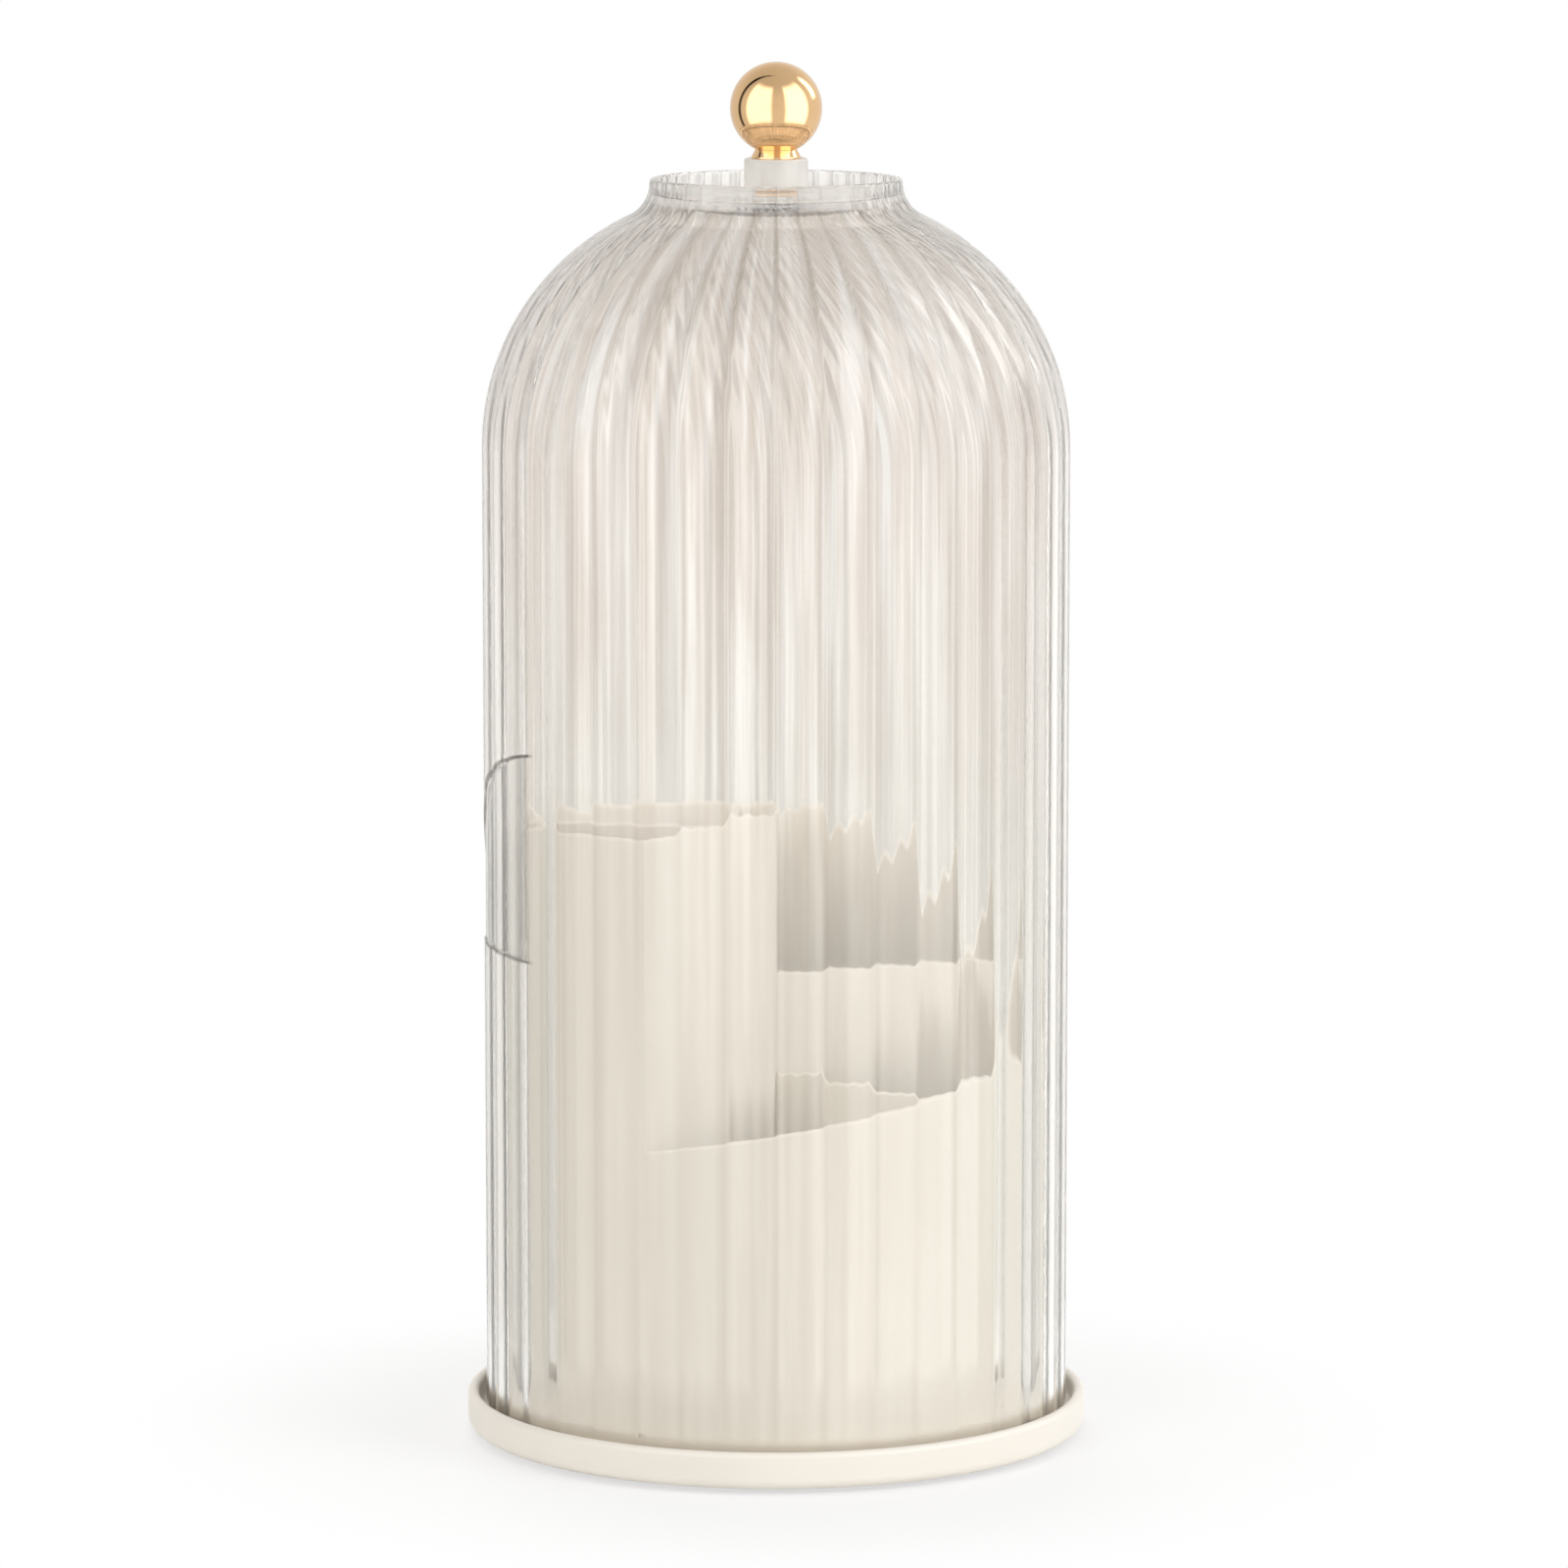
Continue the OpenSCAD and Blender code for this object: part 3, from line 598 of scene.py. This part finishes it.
tray = lathe("tray_cream", tray_profile(), 288, closed=False)
seat = sector(SEAT_FROM, SEAT_SWEEP, 48, SEAT_OUT, SEAT_IN)
carve(tray, prism("seat", seat, GROOVE_Z, 12))
track = sector(TRACK_FROM, TRACK_SWEEP, 60, TRACK_OUT, TRACK_IN)
carve(tray, prism("track", track, TRACK_Z, 6))
for a in TAB_ANGLES:
    slot = block(a, SLOT_IN, SLOT_OUT, SLOT_HALF)
    carve(tray, prism("slot", slot, SLOT_Z, GROOVE_Z + 0.01))
piece(tray, "turntable", "cream_plastic", "tray", angle=30)


# Holder

def rim_height(turn):
    """Height of the rim at a turn in degrees from the step."""
    if turn < MID_TURN:
        return RIM_LOW + (RIM_MID - RIM_LOW) * turn / MID_TURN
    if turn < BACK_TURN:
        t = (turn - MID_TURN) / (BACK_TURN - MID_TURN)
        return RIM_MID + (RIM_BACK - RIM_MID) * t * t * (3 - 2 * t)
    rise = (RIM_HIGH - RIM_BACK) * (turn - BACK_TURN) / (HIGH_TURN - BACK_TURN)
    return min(RIM_HIGH, RIM_BACK + rise)


def holder_wall():
    """The wall as a swept section with a rounded rim."""
    rnd = 0.85
    verts, faces = [], []
    stations = np.linspace(0.9, 360.0, 420)
    for turn in stations:
        h = rim_height(turn)
        x, y = around(STEP_A + turn)
        ring = [(HOLDER_R, DECK_Z), (HOLDER_R, DECK_Z + 20)]
        ring += arc(HOLDER_R - rnd, h - rnd, rnd, 0, 90, 4)
        ring += arc(HOLDER_R - WALL + rnd, h - rnd, rnd, 90, 180, 4)
        ring += [(HOLDER_R - WALL, DECK_Z)]
        verts += [(r * x, r * y, z) for r, z in ring]
    section = len(ring)
    for i in range(len(stations) - 1):
        for k in range(section):
            a, b = i * section + k, i * section + (k + 1) % section
            faces.append([a, b, b + section, a + section])
    last = (len(stations) - 1) * section
    faces.append(list(range(section)))
    faces.append([last + k for k in range(section)][::-1])
    return verts, faces


def divider(a, height, reach):
    """A radial wall with rounded top edges."""
    half, rnd = 0.9, 0.6
    section = [(-half, DECK_Z + 1), (half, DECK_Z + 1)]
    section += arc(half - rnd, height - rnd, rnd, 0, 90, 4)
    section += arc(-half + rnd, height - rnd, rnd, 90, 180, 4)
    verts = [(*beside(a, r, w), z) for r in (0.0, reach) for w, z in section]
    return verts, prism_faces(len(section))


def rounded_post(name, r, foot, top, rnd, steps, cols):
    """An upright post with a rounded top edge."""
    profile = [(0, foot), (r, foot), (r, top - rnd)]
    profile += arc(r - rnd, top - rnd, rnd, 0, 90, steps) + [(0, top)]
    return lathe(name, profile, cols, closed=False)


# The first divider closes the step; the others end a little under the rim
parts = [holder_wall(), divider(STEP_A, RIM_HIGH, HOLDER_R - 0.05)]
for i in range(1, COMPARTMENTS):
    parts.append(divider(STEP_A + SHARE_A * i, rim_height(SHARE_A * i) - 1.5, HOLDER_R - 1.0))
verts, faces = [], []
for v, f in parts:
    base = len(verts)
    verts += v
    faces += [[base + i for i in face] for face in f]
holder = mesh_object("holder_walls", verts, faces)
piece(holder, "turntable", "cream_plastic", "holder", angle=40)

FLOOR_Z = DECK_Z + 2
floor_profile = [(0, DECK_Z), (58.9, DECK_Z), (58.9, DECK_Z + 1.2), (57.8, FLOOR_Z + 0.6),
                 (57.0, FLOOR_Z + 0.1), (56.2, FLOOR_Z), (0, FLOOR_Z)]
holder_floor = lathe("holder_floor", floor_profile, 192, closed=False)
piece(holder_floor, "turntable", "cream_plastic", angle=40)
post = rounded_post("holder_post", 2.5, DECK_Z + 1, RIM_HIGH, 0.8, 5, 48)
piece(post, "turntable", "cream_plastic", angle=40)
BOSS_R, BOSS_AT_M = 3, 0.0539                  # at the holder's five screws
for i in range(COMPARTMENTS):
    boss = rounded_post("holder_boss_%d" % i, BOSS_R, DECK_Z + 1, DECK_Z + 7.5, 0.6, 4, 40)
    x, y = beside(STEP_A + SHARE_A * i, BOSS_AT_M, 0)
    boss.data.transform(Matrix.Translation((x, y, 0)))
    piece(boss, "turntable", "cream_plastic", angle=40)


# Knob, collar and spacer

def knob_profile():
    # Bore, flared foot and waist, as radius and height over the collar
    foot = ((2.53, 4), (2.53, 0), (5.8, 0), (5.93, 0.12), (5.93, 0.42), (5.75, 0.7),
            (5.05, 1.95), (4.98, 2.1), (5.0, 2.22))
    waist_r = 5.12
    p = [(r, COLLAR_TOP + up) for r, up in foot]
    start = -math.degrees(math.acos(waist_r / BALL_R))
    return p + arc(0, BALL_Z, BALL_R, start, 90, 56)[:-1] + [(0, BALL_Z + BALL_R)]


knob = lathe("knob_gold", knob_profile(), 128, closed=False)
piece(knob, "door", "gold", "knob", angle=32)
collar_profile = [(STUD_R, SPACER_TOP), (6.9, SPACER_TOP)]
collar_profile += arc(7.05, SPACER_TOP + 0.6, 0.6, -90, 0, 5)
collar_profile += arc(7.05, COLLAR_TOP - 0.6, 0.6, 0, 90, 5) + [(STUD_R, COLLAR_TOP)]
collar = lathe("collar_clear", collar_profile, 96)
piece(collar, "door", "frosted_plastic", "knob_collar", angle=40)
spacer_profile = [(STUD_R, TOP_Z), (5.3, TOP_Z), (5.5, TOP_Z + 0.2), (5.5, SPACER_TOP - 0.2),
                  (5.3, SPACER_TOP), (STUD_R, SPACER_TOP)]
spacer = lathe("spacer_gold", spacer_profile, 96)
piece(spacer, "door", "gold", "knob_spacer", angle=40)

# Clear pieces let the lamps' light through
for obj in (front, rear, collar):
    obj.visible_shadow = False


# Floor and world. Angles here are in radians, and counted from straight behind the part,
# but for the windows' ones, which are counted from the front.

def backdrop_level(w, x, y):
    """How bright clear pieces see the surroundings: soft upright bands, brighter aside."""
    turn = w.math("ARCTAN2", x, y)
    wide = w.size(turn)
    wave = w.math("COSINE", w.math("MULTIPLY_ADD", turn, 24.0, -0.5))
    bands = w.math("MULTIPLY_ADD", wave, w.span(wide, 0.3, 0.8, 0.16, 0.05), 0.9)
    aside = w.span(wide, 0.12, 1.0, 0.93, 1.24)
    tilt = w.span(turn, -0.6, 0.9, 0.97, 1.14)
    return w.times(bands, w.times(aside, tilt))


FLOOR_RADIUS_M, FLOOR_POINTS = 1.4, 96
floor_mesh = bpy.data.meshes.new("floor")
ring = [(FLOOR_RADIUS_M * math.sin(a), FLOOR_RADIUS_M * math.cos(a), 0)
        for a in np.linspace(0, 2 * math.pi, FLOOR_POINTS + 1)[:-1]]
floor_mesh.from_pydata(ring, [], [list(range(FLOOR_POINTS))[::-1]])
floor = link(bpy.data.objects.new("floor", floor_mesh))
floor.location.z = -0.0002

mat, w, bsdf = principled("floor", (0.86, 0.855, 0.845), Roughness=0.6)
w.put(bsdf.inputs["Base Color"], w.ramp(w.noise(3, 2), [(0.3, (0.85, 0.845, 0.835)),
                                                        (0.7, (0.87, 0.865, 0.855))]))
path = w.node("LightPath").outputs
seen_clear, seen_mirrored = path["Is Transmission Ray"], path["Is Glossy Ray"]
x, y, z = w.place("Object")
away = w.away(x, y)
# Through clear pieces it has the backdrop's level, with a beige reach at the left
dim = w.times(seen_clear, w.math("SUBTRACT", 1.0, backdrop_level(w, x, y)))
left = w.times(w.span(w.math("ARCTAN2", x, y), -0.75, -0.4, 1.0, 0.0),
               w.span(away, 0.22, 0.4, 0.0, 1.0))
lit = w.node("Emission", Strength=w.math("SUBTRACT", 1.0, dim),
             Color=w.blend(w.times(left, seen_clear), (1, 1, 1, 1), (0.72, 0.65, 0.57, 1)))
# White to the camera, with the shadow near the part
near = w.math("MAXIMUM", w.span(away, 0.075, 0.17, 0.62, 1.0), seen_clear)
shown = w.math("MAXIMUM", path["Is Camera Ray"], w.math("MAXIMUM", seen_mirrored, seen_clear))
surface = w.shader(w.times(shown, near), bsdf.outputs[0], lit.outputs[0])
# Beyond the table top, mirrored rays go on to the windows
surface = w.shader(w.times(seen_mirrored, w.span(away, 0.15, 0.19, 0.0, 1.0)), surface,
                   w.node("BsdfTransparent").outputs[0])
w.put(mat.node_tree.nodes["Material Output"].inputs["Surface"], surface)
floor.data.materials.append(mat)

world = bpy.data.worlds.new("studio")
scene.world = world
world.use_nodes = True
world.node_tree.nodes.clear()
w = Wires(world.node_tree)
path = w.node("LightPath").outputs
x, y, z = w.place("Generated")
turn = w.math("ARCTAN2", x, w.times(y, -1.0))


def background(color, strength):
    return w.node("Background", Color=(*color, 1), Strength=strength).outputs[0]


def window(middle, half, soft):
    """1 within half of the middle, with soft edges, and 0 elsewhere round the horizon."""
    off = w.size(w.math("SUBTRACT", turn, middle))
    return w.span(off, half - soft, half + soft, 1.0, 0.0)


# What polished pieces mirror: two tall soft windows beside the camera, a thin dark edge at the
# left, a bright strip high at the right and a pale room
tall = w.times(w.span(z, -0.62, -0.42, 0.0, 1.0), w.span(z, 0.72, 0.88, 1.0, 0.0))
panes = w.times(w.math("MAXIMUM", window(-0.80, 0.58, 0.10), window(0.97, 0.54, 0.10)), tall)
dark_edge = w.times(window(-1.82, 0.09, 0.04), -0.72)
strip = w.times(window(2.05, 0.13, 0.10),
                w.times(w.span(z, 0.15, 0.3, 0.0, 3.0), w.span(z, 0.65, 0.8, 1.0, 0.0)))
room = w.math("MULTIPLY_ADD", panes, 1.5, w.span(z, 0.3, 0.95, 0.82, 0.62))
mirrored = w.times(w.math("ADD", room, w.math("ADD", dark_edge, strip)),
                   w.span(x, -0.9, 0.9, 0.92, 1.1))
behind = w.times(backdrop_level(w, x, y), w.span(z, -0.12, -0.05, 1.0, 0.82))
seen = w.shader(path["Is Glossy Ray"], background((1.0, 0.99, 0.975), 0.42),
                background((1, 0.99, 0.97), mirrored))
seen = w.shader(path["Is Transmission Ray"], seen, background((1, 0.985, 0.965), behind))
seen = w.shader(path["Is Camera Ray"], seen, background((1, 1, 1), 1.0))
w.node("OutputWorld", Surface=seen)


# Lamps and camera

def lamp(name, place, target_z, size, power, color=(1, 1, 1)):
    """A soft lamp aimed at the axis; the part's own surfaces don't mirror it."""
    data = bpy.data.lights.new(name, "AREA")
    data.shape = "RECTANGLE"
    data.size, data.size_y = size
    data.energy = power
    data.color = color
    obj = link(bpy.data.objects.new(name, data))
    obj.location = place
    toward = Vector((0, 0, target_z)) - Vector(place)
    obj.rotation_euler = toward.to_track_quat("-Z", "Y").to_euler()
    obj.visible_glossy = obj.visible_transmission = False


lamp("key", (1.7, -0.8, 1.0), 0.15, (0.9, 1.4), 23, (0.97, 0.985, 1))
lamp("fill", (-1.2, -1.5, 0.8), 0.15, (0.8, 1.2), 13.5, (1, 0.985, 0.955))
lamp("top", (0, 0.1, 1.9), 0.2, (1.0, 1.0), 6.5)
lamp("back", (-0.4, 1.7, 0.8), 0.15, (1.0, 1.2), 15, (1, 0.99, 0.975))

PHOTO_PX, FOCAL_PX, SENSOR_MM = 1600, 8200, 36
CAMERA_AT, CAMERA_AIM = (0.00188, -1.916, 0.439), (0.00188, 0, 0.1577)
camera_data = bpy.data.cameras.new("camera")
camera_data.sensor_width = SENSOR_MM
camera_data.lens = FOCAL_PX / PHOTO_PX * SENSOR_MM
camera = link(bpy.data.objects.new("camera", camera_data))
camera.location = CAMERA_AT
toward = Vector(CAMERA_AIM) - camera.location
camera.rotation_euler = toward.to_track_quat("-Z", "Y").to_euler()
scene.camera = camera
scene.view_settings.view_transform = "Standard"
# Light turned back inside the clear walls counts as a glossy bounce
scene.cycles.glossy_bounces = 12
